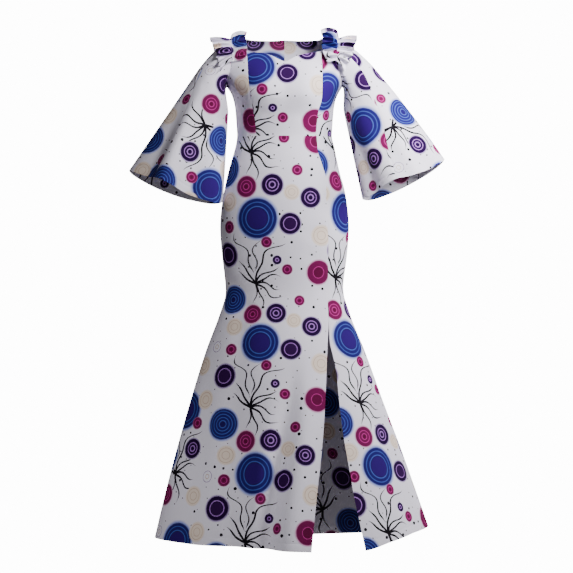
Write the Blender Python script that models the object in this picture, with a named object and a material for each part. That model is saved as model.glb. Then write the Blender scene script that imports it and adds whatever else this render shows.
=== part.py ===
"""A worn mermaid dress in printed cotton, standing out as if on a wearer, with no wearer in it.

Run with: blender --background --python part.py
Metres, +Z up. The front faces -Y, the wearer's left is +X. The origin is midway between the two
shoulder straps, at the height where they rest on the wearer's shoulders.

The bodice and the skirt are cut panels of one tube, whose cross-sections are rows of BODY. A point on
it has a bearing (0 at the front, 90 at +X, 180 at the back) and a run, the way down from the shoulder.
"""

import math

import bpy
from mathutils import Vector

# --- driving sizes ---------------------------------------------------------------------------------
WALL = 0.0016  # thickness of a cloth wall
RUFFLE_WALL = 0.0013
SEAM_GAP = 0.0004  # left open between two panels along their seam
ARMHOLE_GAP = 0.0006  # the sleeve meets the bodice at an angle, so its seam is a little wider

STRAP_X = 0.131  # middle of the shoulder strap
SHOULDER_SLOPE = 0.13  # fall of the shoulder line for each metre outwards
SHOULDER_FADE = 0.15  # run at which that slope has gone
UNDERARM_RUN = 0.196
RUN_LESS_DEPTH = 0.060  # from the bust down, a point's run is its depth below the origin and this

# --- the tube: one row for each body line ------------------------------------------------------------
BODY_COLUMNS = ("run", "z", "right", "left", "front", "back", "square")
BODY = (
    # run, z, half-width to -X, half-width to +X, depth in front, depth behind, squareness
    (0.000, 0.0000, 0.206, 0.206, 0.000, 0.000, 2.30),  # shoulder line
    (0.006, -0.0001, 0.206, 0.206, 0.006, 0.006, 2.30),
    (0.018, -0.0016, 0.206, 0.206, 0.018, 0.017, 2.30),
    (0.038, -0.0075, 0.205, 0.205, 0.037, 0.035, 2.30),
    (0.062, -0.0205, 0.203, 0.203, 0.057, 0.054, 2.30),
    (0.093, -0.0430, 0.199, 0.199, 0.078, 0.073, 2.30),  # front neck corners
    (0.124, -0.0700, 0.193, 0.193, 0.094, 0.086, 2.30),
    (0.156, -0.0990, 0.185, 0.185, 0.108, 0.094, 2.30),
    (0.177, -0.1180, 0.177, 0.177, 0.116, 0.097, 2.30),
    (0.196, -0.1370, 0.167, 0.167, 0.121, 0.098, 2.30),  # underarm
    (0.212, -0.1520, 0.157, 0.158, 0.124, 0.098, 2.28),  # bust
    (0.232, -0.1720, 0.149, 0.149, 0.124, 0.096, 2.26),
    (0.255, -0.1950, 0.144, 0.144, 0.117, 0.093, 2.24),
    (0.285, -0.2250, 0.141, 0.141, 0.106, 0.088, 2.22),
    (0.315, -0.2550, 0.139, 0.139, 0.099, 0.084, 2.20),
    (0.343, -0.2830, 0.138, 0.138, 0.095, 0.082, 2.20),  # waist seam
    (0.372, -0.3120, 0.143, 0.145, 0.097, 0.088, 2.20),
    (0.407, -0.3470, 0.153, 0.152, 0.102, 0.100, 2.20),
    (0.447, -0.3870, 0.164, 0.161, 0.107, 0.116, 2.20),
    (0.497, -0.4370, 0.175, 0.175, 0.111, 0.131, 2.18),
    (0.547, -0.4870, 0.183, 0.183, 0.113, 0.137, 2.15),  # hips
    (0.607, -0.5470, 0.187, 0.187, 0.113, 0.132, 2.12),
    (0.687, -0.6270, 0.181, 0.181, 0.108, 0.119, 2.10),
    (0.767, -0.7070, 0.172, 0.171, 0.102, 0.109, 2.10),
    (0.802, -0.7420, 0.172, 0.173, 0.103, 0.110, 2.10),  # above the knee, the narrowest
    (0.837, -0.7770, 0.182, 0.184, 0.110, 0.119, 2.08),
    (0.882, -0.8220, 0.198, 0.200, 0.123, 0.134, 2.06),
    (0.967, -0.9070, 0.230, 0.235, 0.149, 0.164, 2.04),
    (1.107, -1.0470, 0.273, 0.286, 0.186, 0.206, 2.02),
    (1.247, -1.1870, 0.312, 0.339, 0.220, 0.242, 2.00),
    (1.387, -1.3270, 0.348, 0.389, 0.250, 0.273, 2.00),
    (1.547, -1.4870, 0.386, 0.445, 0.281, 0.304, 2.00),
)
COLUMN = {name: i for i, name in enumerate(BODY_COLUMNS)}

# Bust fullness, a soft swelling to each side of the middle.
BUST_X, BUST_Z, BUST_WIDE, BUST_TALL, BUST_FULL = 0.072, -0.152, 0.050, 0.052, 0.012
BUST_ROUND = 0.05  # depth in front of the middle at which it reaches its full size

# Height of the hem for each bearing.
HEM = (
    # bearing, z
    (-180, -1.470),
    (-135, -1.462),
    (-90, -1.439),
    (-45, -1.444),
    (-22, -1.444),
    (0, -1.453),
    (20, -1.459),
    (33, -1.455),
    (45, -1.436),
    (65, -1.417),
    (90, -1.409),
    (135, -1.446),
    (180, -1.470),
)

# Soft folds of the skirt: a ridge stands out, a valley sinks in. Each wanders from its bearing at the
# top to its bearing at the hem, and grows from nothing at the top to its full depth.
FOLDS = (
    # z of its top, bearing at the top, bearing at the hem, half-width in degrees, depth
    (-0.86, 2, -20, 8, -0.016),  # the long valley of the front, and the ridge beside it
    (-0.86, 13, -6, 9, 0.012),
    (-0.78, -58, -50, 13, -0.012),  # where the right flare turns away to the side
    (-0.80, -74, -76, 9, 0.006),
    (-0.80, 62, 64, 10, -0.008),  # and the left
    (-0.84, -118, -112, 11, -0.015),  # waves of the back
    (-0.84, -142, -140, 10, 0.011),
    (-0.88, -165, -163, 10, -0.013),
    (-0.86, 176, 171, 9, 0.009),
    (-0.84, 150, 148, 11, -0.015),
    (-0.88, 126, 124, 10, 0.010),
    (-0.84, 104, 104, 9, -0.009),
)
FOLD_GROWTH = 0.45  # metres below its top at which a fold has its full depth

# --- seam lines, each a short table of run and X -----------------------------------------------------
RIGHT_PRINCESS = (
    (0.000, -0.111),
    (0.090, -0.109),
    (0.130, -0.106),
    (0.185, -0.103),
    (0.248, -0.094),
    (0.300, -0.085),
    (0.343, -0.081),
)
LEFT_PRINCESS = (
    (0.000, 0.104),
    (0.090, 0.106),
    (0.160, 0.109),
    (0.240, 0.107),
    (0.270, 0.098),
    (0.343, 0.090),
)
ARMHOLE_FRONT = (
    (0.000, 0.166),
    (0.062, 0.161),
    (0.100, 0.156),
    (0.130, 0.154),
)
ARMHOLE_BACK = (
    (0.000, 0.166),
    (0.062, 0.162),
    (0.100, 0.158),
    (0.130, 0.157),
)
ARMHOLE_ROUND = 1.6  # 2 would make the armhole's lower curve a quarter of an ellipse
SLIT_SEAM = (  # waist to the top of the slit
    (0.343, 0.093),
    (0.382, 0.096),
    (0.420, 0.107),
    (0.459, 0.118),
    (0.504, 0.120),
    (0.573, 0.122),
    (0.640, 0.126),
    (0.768, 0.125),
    (0.842, 0.125),
)
SLIT_TOP_RUN = 0.842
SLIT_MAIN_EDGE = (
    (0.842, 0.125),
    (0.882, 0.126),
    (0.957, 0.122),
    (1.052, 0.118),
    (1.127, 0.114),
    (1.182, 0.110),
    (1.267, 0.102),
    (1.322, 0.095),
    (1.407, 0.086),
    (1.517, 0.075),
)
SLIT_SIDE_EDGE = (
    (0.842, 0.126),
    (0.882, 0.127),
    (0.937, 0.130),
    (0.967, 0.137),
    (1.014, 0.147),
    (1.107, 0.156),
    (1.197, 0.167),
    (1.307, 0.186),
    (1.367, 0.196),
    (1.427, 0.209),
    (1.517, 0.228),
)

# Necklines: how far down the run they lie for each share of the way across their panel.
FRONT_CORNER_RUN = 0.090
FRONT_NECK = ((0.0, 0.090), (0.10, 0.094), (0.26, 0.098), (0.36, 0.107), (0.50, 0.127))
FRONT_NECK += ((0.64, 0.108), (0.76, 0.100), (0.88, 0.095), (1.0, 0.090))
BACK_NECK = ((0.00, 0.044), (0.20, 0.040), (0.36, 0.033), (0.48, 0.025), (0.53, 0.018), (0.555, 0.0), (1.0, 0.0))

# --- rows and columns of the panels --------------------------------------------------------------------
BODICE_RUNS = (0.0, 0.018, 0.038, 0.056, 0.073, 0.090, 0.110, 0.130, 0.145, 0.160)
BODICE_RUNS += (0.174, 0.186, 0.196, 0.212, 0.232, 0.255, 0.277, 0.299, 0.321, 0.343)
SKIRT_RUNS = (0.343, 0.375, 0.415, 0.465, 0.525, 0.595, 0.670, 0.735, 0.780, 0.810, 0.842)
SKIRT_RUNS += (0.880, 0.925, 0.980, 1.040, 1.110, 1.190, 1.290, 1.400, 1.500)
BACK_SHARES = (0.0, 0.12, 0.24, 0.36, 0.45, 0.52, 0.555, 0.66, 0.77, 0.88, 1.0)
CENTRE_FRONT_COLUMNS = 12
SIDE_FRONT_COLUMNS = 6
SKIRT_MAIN_COLUMNS = 17
SKIRT_SIDE_COLUMNS = 8
SKIRT_BACK_COLUMNS = 14

# --- sleeves -------------------------------------------------------------------------------------------
# Corners seen from the front, as X and Z: where the outer and inner edges start and where they end.
SLEEVES = {
    # outer edge's top, inner edge's top, outer edge's hem, inner edge's hem
    "right": ((-0.205, -0.020), (-0.159, -0.150), (-0.448, -0.380), (-0.177, -0.470)),
    "left": ((0.204, -0.018), (0.159, -0.148), (0.461, -0.348), (0.224, -0.462)),
}
SLEEVE_BOW = {"right": 0.0, "left": 0.007}  # how far the outer edge bulges halfway down
CAP_END = 0.20  # share of the sleeve over which the armhole's shape becomes a plain oval
CAP_SHARES = (0.0, 0.25, 0.60)
SLEEVE_STATIONS = (0.20, 0.32, 0.45, 0.59, 0.73, 0.87, 1.0)
CAP_FALL = 0.35  # slope at which the cap leaves the armhole
CAP_REACH_TOP, CAP_REACH_UNDER = 0.085, 0.030  # how far it keeps that slope, over and under the arm
SLEEVE_DEPTH_TOP, SLEEVE_DEPTH_HEM = 0.070, 0.104  # half the sleeve from front to back
SLEEVE_SQUARE = 2.0
SLEEVE_FORWARD = 0.045  # how far the arms carry the hems forward
# Round the sleeve: 0 is the outer edge, 90 the front, 180 the underarm, 270 the back.
SLEEVE_HEM_DROP = {
    # turn and how far the hem hangs below the plain oval there, front first
    "right": (
        (0, 0.0),
        (45, 0.002),
        (75, -0.002),
        (110, 0.014),
        (145, 0.012),
        (180, 0.0),
        (225, 0.020),
        (270, 0.026),
        (315, 0.016),
        (360, 0.0),
    ),
    "left": (
        (0, 0.0),
        (45, 0.008),
        (80, 0.004),
        (103, -0.008),
        (145, 0.002),
        (180, 0.0),
        (225, 0.018),
        (270, 0.022),
        (315, 0.014),
        (360, 0.0),
    ),
}
SLEEVE_FOLDS = {
    # turn at the top, turn at the hem, half-width in degrees, depth at the hem
    "right": (
        (30, 45, 20, -0.020),
        (66, 77, 13, 0.013),
        (108, 118, 18, -0.012),
        (150, 148, 14, 0.008),
        (235, 240, 22, -0.015),
        (285, 285, 20, 0.012),
    ),
    "left": (
        (58, 50, 18, -0.010),
        (80, 76, 12, 0.006),
        (125, 104, 15, 0.012),
        (150, 140, 16, -0.013),
        (250, 245, 22, -0.014),
        (300, 296, 20, 0.011),
    ),
}
SLEEVE_FOLD_TOP = 0.12  # share of the sleeve above which it has no folds

# --- ruffles on the shoulders --------------------------------------------------------------------------
RUFFLE_RUN = 0.124  # how far down the front, and down the back, the strip is sewn
RUFFLE_X_TOP, RUFFLE_X_END = 0.156, 0.145
RUFFLE_CLEAR = 0.0040
RUFFLE_SIDES = {
    # width outside the stitching, width inside it, degrees at which the inside stands up at the top,
    # share of their height that the outer and the inner waves lose towards the front end
    "right": (0.059, 0.046, 32, 0.1, 0.85),
    "left": (0.052, 0.047, 40, 0.4, 0.3),
}
RUFFLE_RISE = (
    # place from the front end to the back end, degrees at which the outer side stands off,
    # inner side's share of its angle at the top, inner waves' share of their height
    (-1.00, 14, 0.05, 1.0),
    (-0.50, 11, 0.30, 1.0),
    (-0.25, 10, 0.75, 0.7),
    (0.00, 9, 1.00, 0.2),
    (0.25, 14, 0.75, 0.7),
    (0.50, 23, 0.30, 1.0),
    (1.00, 33, 0.05, 1.0),
)
RUFFLE_WAVES = 9
RUFFLE_UNEVEN = 0.7  # how far, in radians, the waves wander from even spacing
RUFFLE_UNEVEN_TURNS = 5.0
RUFFLE_UNEVEN_START = {"right": 2.1, "left": 1.0}
RUFFLE_OFFSET = 1.9  # the inner side's waves lag the outer's by this
RUFFLE_WAVE_HIGH = 0.0080
RUFFLE_CURL = 1.1  # 0 would leave each side flat, 1 lets it level out at its edge
RUFFLE_LEAN = 0.0040  # how far the crests lean down the front and down the back
RUFFLE_LEAN_TURN = 6.0  # how quickly, going away from the top, they start to
RUFFLE_FAN = 0.016  # how much further both edges reach at the front end
RUFFLE_TAPER = 0.40  # share of the outer width that is lost at the front end
RUFFLE_STEPS_PER_WAVE = 7
RUFFLE_GROWTH = 1.2  # 1 would let the waves grow evenly from the stitching to the edge
RUFFLE_LOOK = 0.04  # how far along its neighbours are taken to find which way the strip runs
RUFFLE_SHARES = (-1.0, -0.7, -0.38, 0.0, 0.38, 0.7, 1.0)  # across it, from the neck outwards

CLOTH_COLOUR = (0.80, 0.79, 0.84, 1.0)
CLOTH_ROUGHNESS = 0.75


def table_at(rows, at, column=1):
    """Smooth value of a table's column, its first column being where each row stands."""
    at = min(max(at, rows[0][0]), rows[-1][0])
    i = next(k for k in range(len(rows) - 1) if at <= rows[k + 1][0])
    span = rows[i + 1][0] - rows[i][0]
    share = (at - rows[i][0]) / span

    def slope(k):
        before, after = rows[max(k - 1, 0)], rows[min(k + 1, len(rows) - 1)]
        return (after[column] - before[column]) / (after[0] - before[0])

    low, high = rows[i][column], rows[i + 1][column]
    return (
        low * (1 + 2 * share) * (1 - share) ** 2
        + high * share**2 * (3 - 2 * share)
        + span * slope(i) * share * (1 - share) ** 2
        - span * slope(i + 1) * share**2 * (1 - share)
    )


def lerp(a, b, share):
    return a + (b - a) * share


def smooth(share):
    share = min(max(share, 0.0), 1.0)
    return share * share * (3 - 2 * share)


def signed_power(value, power):
    return math.copysign(abs(value) ** power, value)


def body_at(run, name):
    return table_at(BODY, run, COLUMN[name])


def bell(distance, half_width):
    """1 at the middle of a fold, falling smoothly to nothing about two half-widths away."""
    return math.exp(-((distance / half_width) ** 2))


def fold_depth(bearing, z):
    """How far all the folds together push a point of the skirt outwards."""
    total = 0.0
    for top_z, top_bearing, hem_bearing, half_width, depth in FOLDS:
        if z < top_z:
            middle = lerp(top_bearing, hem_bearing, smooth((top_z - z) / (top_z - HEM[0][1])))
            away = (bearing - middle + 180) % 360 - 180
            total += depth * smooth((top_z - z) / FOLD_GROWTH) * bell(away, half_width)
    return total


def tube_point(bearing, run):
    """The cloth's outer face at a bearing in degrees and a run."""
    turn = math.radians(bearing)
    side = body_at(run, "left" if math.sin(turn) > 0 else "right")
    deep = body_at(run, "front" if math.cos(turn) > 0 else "back")
    power = 2 / body_at(run, "square")
    x = side * signed_power(math.sin(turn), power)
    y = -deep * signed_power(math.cos(turn), power)
    z = body_at(run, "z")
    z += SHOULDER_SLOPE * (STRAP_X - abs(x)) * (1 - smooth(run / SHOULDER_FADE))
    if y < 0:
        full = BUST_FULL * bell(abs(x) - BUST_X, BUST_WIDE) * bell(z - BUST_Z, BUST_TALL)
        y -= full * smooth(-y / BUST_ROUND)
    outwards = Vector((x, y, 0.0)).normalized()
    return Vector((x, y, z)) + outwards * fold_depth(bearing, z)


def tube_normal(bearing, run):
    """The outward direction there, from four near points."""
    turn_step, run_step = 0.6, 0.002  # degrees, metres
    low, high = max(run - run_step, 0.0), run + run_step
    across = tube_point(bearing + turn_step, run) - tube_point(bearing - turn_step, run)
    down = tube_point(bearing, high) - tube_point(bearing, low)
    return down.cross(across).normalized()


def bearing_at(x, run, behind=False):
    """The bearing at which the tube has this X, on its front or its back."""
    side = body_at(run, "left" if x > 0 else "right")
    share = min(abs(x) / side, 1.0)
    turn = math.degrees(math.asin(share ** (body_at(run, "square") / 2)))
    turn = math.copysign(turn, x)
    return math.copysign(180, x) - turn if behind else turn


def hem_run(bearing):
    return RUN_LESS_DEPTH - table_at(HEM, (bearing + 180) % 360 - 180)


def wall_object(name, outer, inner, closed=False):
    """A closed wall between two grids of points. A closed one joins its last column to its first."""
    rows, columns = len(outer), len(outer[0])
    points = [p for grid in (outer, inner) for row in grid for p in row]
    inside = rows * columns

    def at(row, column, base=0):
        return base + row * columns + column % columns

    faces = []
    steps = columns if closed else columns - 1
    for i in range(rows - 1):
        for j in range(steps):
            a, b, c, d = at(i, j), at(i + 1, j), at(i + 1, j + 1), at(i, j + 1)
            if (points[a] - points[c]).length < (points[b] - points[d]).length:
                halves = ((a, b, c), (a, c, d))
            else:
                halves = ((a, b, d), (b, c, d))
            for half in halves:  # both walls are split the same way, so they stay parallel
                faces.append(half)
                faces.append(tuple(inside + k for k in reversed(half)))
    for j in range(steps):
        top, bottom = at(0, j), at(rows - 1, j)
        top_next, bottom_next = at(0, j + 1), at(rows - 1, j + 1)
        faces.append((top, top_next, inside + top_next, inside + top))
        faces.append((bottom_next, bottom, inside + bottom, inside + bottom_next))
    for i in range(0 if closed else rows - 1):
        first, last = at(i, 0), at(i, columns - 1)
        first_next, last_next = at(i + 1, 0), at(i + 1, columns - 1)
        faces.append((first_next, first, inside + first, inside + first_next))
        faces.append((last, last_next, inside + last_next, inside + last))
    mesh = bpy.data.meshes.new(name)
    mesh.from_pydata([tuple(p) for p in points], [], faces)
    mesh.shade_smooth()
    mesh.set_sharp_from_angle(angle=math.radians(50))
    mesh.materials.append(cloth)
    obj = bpy.data.objects.new(name, mesh)
    bpy.context.scene.collection.objects.link(obj)
    return obj


def tube_panel(name, runs, shares, first_edge, last_edge, top=None, hem=False):
    """A panel of the tube. The edges give a bearing for a run, each keeping half a seam gap.

    top(share) lowers the upper edge to a neckline, and hem says that the lower edge is the hem."""
    outer, inner = [], []
    whole = runs[-1] - runs[0]
    for run in runs:
        outer_row, inner_row = [], []
        for share in shares:
            here = run
            if top:
                here = lerp(top(share), runs[-1], (run - runs[0]) / whole)
            bearing = lerp(first_edge(here), last_edge(here), share)
            if hem:
                here = lerp(runs[0], hem_run(bearing), (here - runs[0]) / whole)
                bearing = lerp(first_edge(here), last_edge(here), share)
            point = tube_point(bearing, here)
            outer_row.append(point)
            inner_row.append(point - tube_normal(bearing, here) * WALL)
        outer.append(outer_row)
        inner.append(inner_row)
    return wall_object(name, outer, inner)


def seam(table, side, behind=False):
    """An edge that follows a seam table, half a gap to one side of it: side is 1 towards +X."""
    return lambda run: bearing_at(table_at(table, run) + side * SEAM_GAP / 2, run, behind)


def side_edge(armhole, sign, behind):
    """The outer edge of a bodice panel: the armhole, then the side seam."""

    def edge(run):
        gap = math.degrees(SEAM_GAP / 2 / body_at(run, "left"))
        seam_bearing = sign * (90 + gap if behind else 90 - gap)
        if run >= UNDERARM_RUN:
            return seam_bearing
        if run <= armhole[-1][0]:
            return bearing_at(sign * table_at(armhole, run), run, behind)
        last_run, last_x = armhole[-1]
        share = (run - last_run) / (UNDERARM_RUN - last_run)
        up = (1 - share**ARMHOLE_ROUND) ** (1 / ARMHOLE_ROUND)
        return lerp(seam_bearing, bearing_at(sign * last_x, last_run, behind), up)

    return edge


def fixed_edge(bearing, side):
    """A straight seam at one bearing, half a gap to one side of it."""
    return lambda run: bearing + side * math.degrees(SEAM_GAP / 2 / body_at(run, "left"))


def even(count):
    return tuple(i / count for i in range(count + 1))


def with_gaps(runs, at_top=True, at_bottom=True):
    """The rows of a panel, its first and last moved half a seam gap in."""
    runs = list(runs)
    runs[0] += SEAM_GAP / 2 if at_top else 0.0
    runs[-1] -= SEAM_GAP / 2 if at_bottom else 0.0
    return runs


def make_bodice():
    runs = with_gaps(BODICE_RUNS)
    corner = BODICE_RUNS.index(FRONT_CORNER_RUN)

    tube_panel(
        "bodice_centre_front",
        runs[corner:],
        even(CENTRE_FRONT_COLUMNS),
        seam(RIGHT_PRINCESS, 1),
        seam(LEFT_PRINCESS, -1),
        top=lambda share: piecewise(FRONT_NECK, share) + SEAM_GAP / 2,
    )
    for name, sign, princess in (("right", -1, RIGHT_PRINCESS), ("left", 1, LEFT_PRINCESS)):
        edges = [seam(princess, sign), side_edge(ARMHOLE_FRONT, sign, behind=False)]
        if sign < 0:
            edges.reverse()
        tube_panel(f"bodice_side_front_{name}", runs, even(SIDE_FRONT_COLUMNS), *edges)

        centre = fixed_edge(sign * 180, -sign)
        outer = side_edge(ARMHOLE_BACK, sign, behind=True)
        shares, top = BACK_SHARES, lambda share: max(piecewise(BACK_NECK, share), runs[0])
        if sign > 0:  # bearings grow from the side to the middle of the back
            tube_panel(
                f"bodice_back_{name}",
                runs,
                [1 - share for share in reversed(shares)],
                outer,
                centre,
                top=lambda share: top(1 - share),
            )
        else:
            tube_panel(f"bodice_back_{name}", runs, shares, centre, outer, top=top)


def piecewise(rows, at):
    """A table's value with straight lines between its rows."""
    i = next(k for k in range(len(rows) - 1) if at <= rows[k + 1][0] or k == len(rows) - 2)
    return lerp(rows[i][1], rows[i + 1][1], (at - rows[i][0]) / (rows[i + 1][0] - rows[i][0]))


def make_skirt():
    runs = with_gaps(SKIRT_RUNS, at_bottom=False)

    def slit_edge(free_edge, side):
        def edge(run):
            if run <= SLIT_TOP_RUN:
                return seam(SLIT_SEAM, side)(run)
            return seam(free_edge, side)(run)

        return edge

    tube_panel(
        "skirt_front_main",
        runs,
        even(SKIRT_MAIN_COLUMNS),
        fixed_edge(-90, 1),
        slit_edge(SLIT_MAIN_EDGE, -1),
        hem=True,
    )
    tube_panel(
        "skirt_front_side",
        runs,
        even(SKIRT_SIDE_COLUMNS),
        slit_edge(SLIT_SIDE_EDGE, 1),
        fixed_edge(90, -1),
        hem=True,
    )
    for name, first, last in (("left", 90, 180), ("right", -180, -90)):
        edges = fixed_edge(first, 1), fixed_edge(last, -1)
        tube_panel(f"skirt_back_{name}", runs, even(SKIRT_BACK_COLUMNS), *edges, hem=True)


def armhole_ring(sign):
    """The bodice's armhole edge, from the shoulder down the front and up the back, with a point
    halfway along each straight stretch."""
    runs = [run for run in with_gaps(BODICE_RUNS) if run <= UNDERARM_RUN]
    front = side_edge(ARMHOLE_FRONT, sign, behind=False)
    back = side_edge(ARMHOLE_BACK, sign, behind=True)
    corners = [tube_point(front(run), run) for run in runs]
    corners += [tube_point(back(run), run) for run in reversed(runs)]
    middle_top = (corners[0] + corners[-1]) / 2
    middle_low = (corners[len(runs) - 1] + corners[len(runs)]) / 2
    corners = [middle_top] + corners[1 : len(runs) - 1] + [middle_low] + corners[len(runs) + 1 : -1]
    ring = []
    for here, after in zip(corners, corners[1:] + corners[:1]):
        ring += [here, (here + after) / 2]
    return [p + Vector((sign * ARMHOLE_GAP, 0, 0)) for p in ring]


def sleeve_fold(folds, turn, station):
    total = 0.0
    for top_turn, hem_turn, half_width, depth in folds:
        away = (turn - lerp(top_turn, hem_turn, station) + 180) % 360 - 180
        total += depth * smooth((station - SLEEVE_FOLD_TOP) / (1 - SLEEVE_FOLD_TOP)) * bell(away, half_width)
    return total


def make_sleeve(name, sign):
    outer_top, inner_top, outer_hem, inner_hem = [Vector((x, 0, z)) for x, z in SLEEVES[name]]
    ring = armhole_ring(sign)
    middle = (ring[0] + ring[len(ring) // 2]) / 2
    towards = (ring[0] - middle).normalized()
    turns = []
    for p in ring:
        away = p - middle
        turn = math.degrees(math.atan2(-away.y, away.dot(towards)))
        turns.append(turn % 360)

    def oval(station, turn):
        """The plain sleeve, an oval between its outer and inner edges."""
        high, low = outer_top.lerp(outer_hem, station), inner_top.lerp(inner_hem, station)
        high += Vector((sign, 0, 1)).normalized() * SLEEVE_BOW[name] * 4 * station * (1 - station)
        half = (high - low) / 2
        deep = lerp(SLEEVE_DEPTH_TOP, SLEEVE_DEPTH_HEM, station)
        angle = math.radians(turn)
        power = 2 / SLEEVE_SQUARE
        along = half * signed_power(math.cos(angle), power)
        out = Vector((0, -1, 0)) * deep * signed_power(math.sin(angle), power)
        away = (along + out).normalized()
        point = (high + low) / 2 + along + out + away * sleeve_fold(SLEEVE_FOLDS[name], turn, station)
        point.y -= SLEEVE_FORWARD * station
        drop = table_at(SLEEVE_HEM_DROP[name], turn) * station**3
        return point + (outer_hem - outer_top + inner_hem - inner_top).normalized() * drop

    def cap(share, start, turn):
        """The way from the armhole to the plain sleeve, a curve that leaves the bodice outwards."""
        goal = oval(CAP_END, turn)
        reach = lerp(CAP_REACH_UNDER, CAP_REACH_TOP, (1 + math.cos(math.radians(turn))) / 2)
        leave = Vector((sign, 0, -CAP_FALL)) * reach
        arrive = (oval(CAP_END + 0.02, turn) - goal) * CAP_END / 0.02
        return (
            start * (1 + 2 * share) * (1 - share) ** 2
            + goal * share**2 * (3 - 2 * share)
            + leave * share * (1 - share) ** 2
            - arrive * share**2 * (1 - share)
        )

    rows = [[cap(share, start, turn) for start, turn in zip(ring, turns)] for share in CAP_SHARES]
    rows += [[oval(station, turn) for turn in turns] for station in SLEEVE_STATIONS]

    count = len(ring)
    inner = []
    for i, row in enumerate(rows):
        inner_row = []
        for j, point in enumerate(row):
            across = row[(j + 1) % count] - row[j - 1]
            down = rows[min(i + 1, len(rows) - 1)][j] - rows[max(i - 1, 0)][j]
            normal = down.cross(across).normalized()
            if (point - sum(row, Vector()) / count).dot(normal) < 0:
                normal.negate()
            if i == 0:  # along the seam the sleeve's edge stands parallel to the bodice's
                normal.x = 0.0
                normal.normalize()
            inner_row.append(point - normal * WALL)
        inner.append(inner_row)
    if sign > 0:  # the ring runs the other way round on this side
        rows = [list(reversed(row)) for row in rows]
        inner = [list(reversed(row)) for row in inner]
    wall_object(f"sleeve_{name}", rows, inner, closed=True)


def ruffle_stitching(place, sign):
    """The stitched line over the shoulder: a point and the outward direction there."""
    run = abs(place) * RUFFLE_RUN
    x = sign * lerp(RUFFLE_X_TOP, RUFFLE_X_END, abs(place))
    bearing = bearing_at(x, run, behind=place > 0)
    return tube_point(bearing, run), tube_normal(bearing, run)


def ruffle_row(place, turns, name, sign):
    """One row of points across the ruffle. turns counts the waves from its front end, in radians."""
    point, normal = ruffle_stitching(place, sign)
    before = ruffle_stitching(max(place - RUFFLE_LOOK, -1), sign)[0]
    after = ruffle_stitching(min(place + RUFFLE_LOOK, 1), sign)[0]
    along = (after - before).normalized()
    normal = (normal - along * normal.dot(along)).normalized()
    across = along.cross(normal) * sign
    outer_width, inner_width, top_angle, outer_calm, inner_calm = RUFFLE_SIDES[name]
    front = max(-place, 0.0)
    row = []
    for share in RUFFLE_SHARES:
        reach = abs(share)
        if share > 0:
            width = outer_width * (1 - RUFFLE_TAPER * front**3)
            calm, full, offset = outer_calm, 1.0, 0.0
            angle = table_at(RUFFLE_RISE, place, 1)
        else:
            width = inner_width
            calm, full, offset = inner_calm, table_at(RUFFLE_RISE, place, 3), RUFFLE_OFFSET
            angle = top_angle * table_at(RUFFLE_RISE, place, 2)
        wander = RUFFLE_UNEVEN * math.sin(RUFFLE_UNEVEN_TURNS * place + RUFFLE_UNEVEN_START[name])
        wave = math.sin(turns + wander + offset)
        grown = full * reach**RUFFLE_GROWTH * (1 - calm * smooth(1.6 * front - 0.2))
        curled = reach * (1 + RUFFLE_CURL * (1 - reach))
        height = RUFFLE_CLEAR + curled * width * math.sin(math.radians(angle))
        height += grown * RUFFLE_WAVE_HIGH * (1 + wave)
        lean = grown * RUFFLE_LEAN * math.tanh(RUFFLE_LEAN_TURN * place) * wave
        lean -= RUFFLE_FAN * reach * front**4
        out = share * width * math.cos(math.radians(angle))
        row.append(point + across * out + normal * height + along * lean)
    return row


def make_ruffle(name, sign):
    """A strip stitched down its middle over the shoulder, gathered so that both sides stand in folds."""
    steps = RUFFLE_WAVES * RUFFLE_STEPS_PER_WAVE
    whole = 2 * math.pi * RUFFLE_WAVES
    over = [ruffle_row(-1 + 2 * i / steps, whole * i / steps, name, sign) for i in range(steps + 1)]
    last = len(RUFFLE_SHARES) - 1
    under = []
    for i, row in enumerate(over):
        under_row = []
        for j, point in enumerate(row):
            along = over[min(i + 1, steps)][j] - over[max(i - 1, 0)][j]
            across = row[min(j + 1, last)] - row[max(j - 1, 0)]
            under_row.append(point + along.cross(across).normalized() * sign * RUFFLE_WALL)
        under.append(under_row)
    outer, inner = (under, over) if sign > 0 else (over, under)
    wall_object(f"ruffle_{name}", outer, inner)


def clear_scene():
    for obj in list(bpy.data.objects):
        bpy.data.objects.remove(obj, do_unlink=True)


def printed_cotton():
    material = bpy.data.materials.new("printed_cotton")
    material.use_nodes = True
    shader = material.node_tree.nodes["Principled BSDF"]
    shader.inputs["Base Color"].default_value = CLOTH_COLOUR
    shader.inputs["Roughness"].default_value = CLOTH_ROUGHNESS
    shader.inputs["Metallic"].default_value = 0.0
    return material


clear_scene()
cloth = printed_cotton()
make_bodice()
make_skirt()
for side_name, side_sign in (("right", -1), ("left", 1)):
    make_sleeve(side_name, side_sign)
    make_ruffle(side_name, side_sign)
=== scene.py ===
import math

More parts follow.
